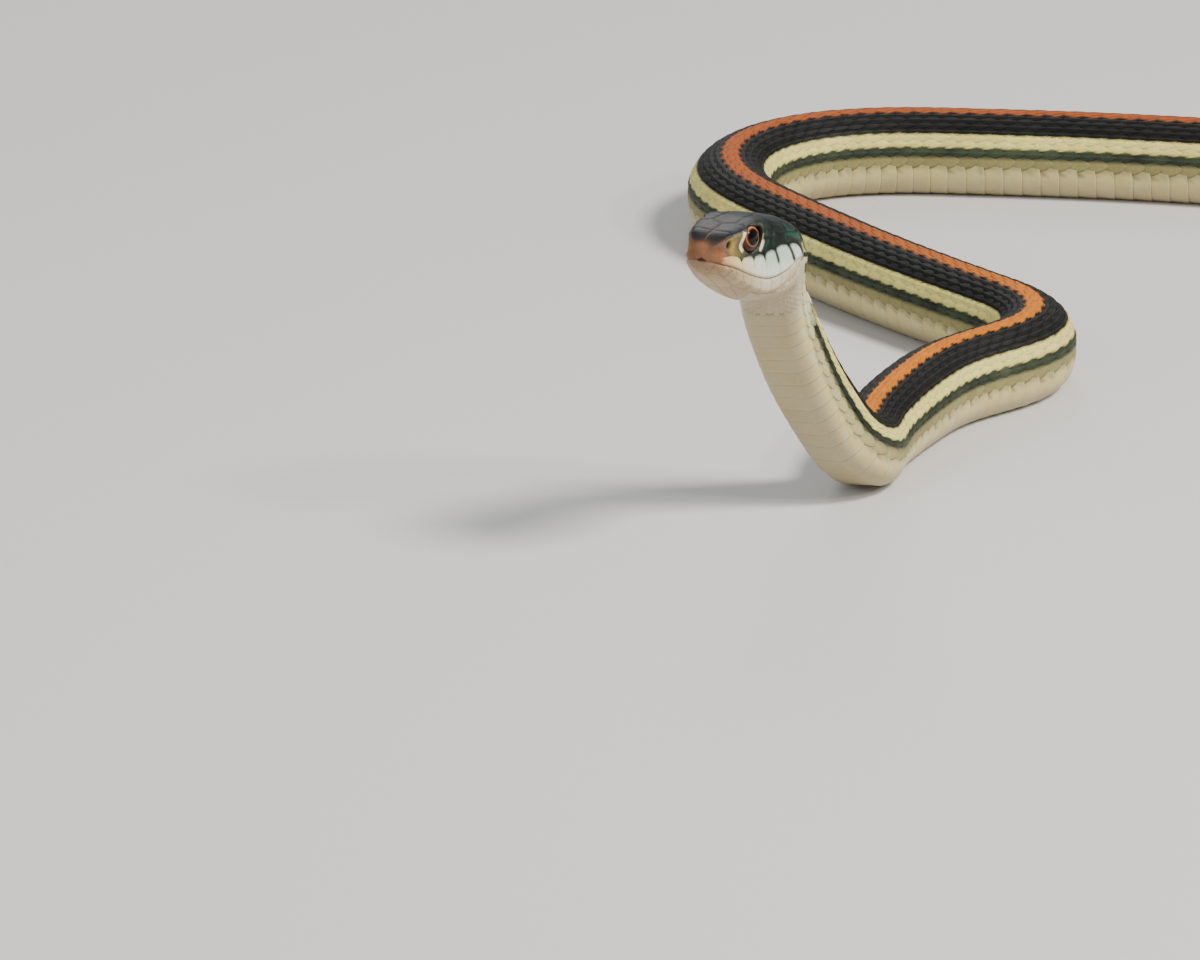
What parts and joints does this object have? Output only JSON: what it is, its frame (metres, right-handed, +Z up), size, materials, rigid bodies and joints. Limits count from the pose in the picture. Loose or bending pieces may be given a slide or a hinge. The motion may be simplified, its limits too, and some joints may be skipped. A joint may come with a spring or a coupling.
{
  "type": "garter snake (western ribbon snake), still life-size model",
  "caption": "Slender striped snake lying in open bends on its belly, with the neck raised and the head looking up and forward; mouth closed.",
  "frame": {"origin": "on the floor, under the middle of the model's box", "axes": "+Z up; +Y the way the reference view looks, from the snake's front to its back; +X to the right in that view"},
  "size_m": [0.1662, 0.236, 0.0428],
  "materials": {
    "skin": "dry keeled scales, black with an orange back stripe and cream side stripes",
    "pale_skin": "smooth pale cream belly and throat shields",
    "eye": "wet, clear and glossy, rusty red iris, round black pupil"
  },
  "bodies": {
    "root": {"head": "skin", "lower_jaw": "pale_skin", "eye_right": "eye", "eye_left": "eye", "neck": "pale_skin", "trunk_1": "skin", "trunk_2": "skin", "trunk_3": "skin", "trunk_4": "skin", "trunk_5": "skin", "trunk_6": "skin", "trunk_7": "skin", "trunk_8": "skin", "trunk_9": "skin", "trunk_10": "skin", "trunk_11": "skin", "trunk_12": "skin", "trunk_13": "skin", "trunk_14": "skin", "tail_1": "skin", "tail_2": "skin", "tail_3": "skin", "tail_4": "skin"}
  },
  "joints": []
}
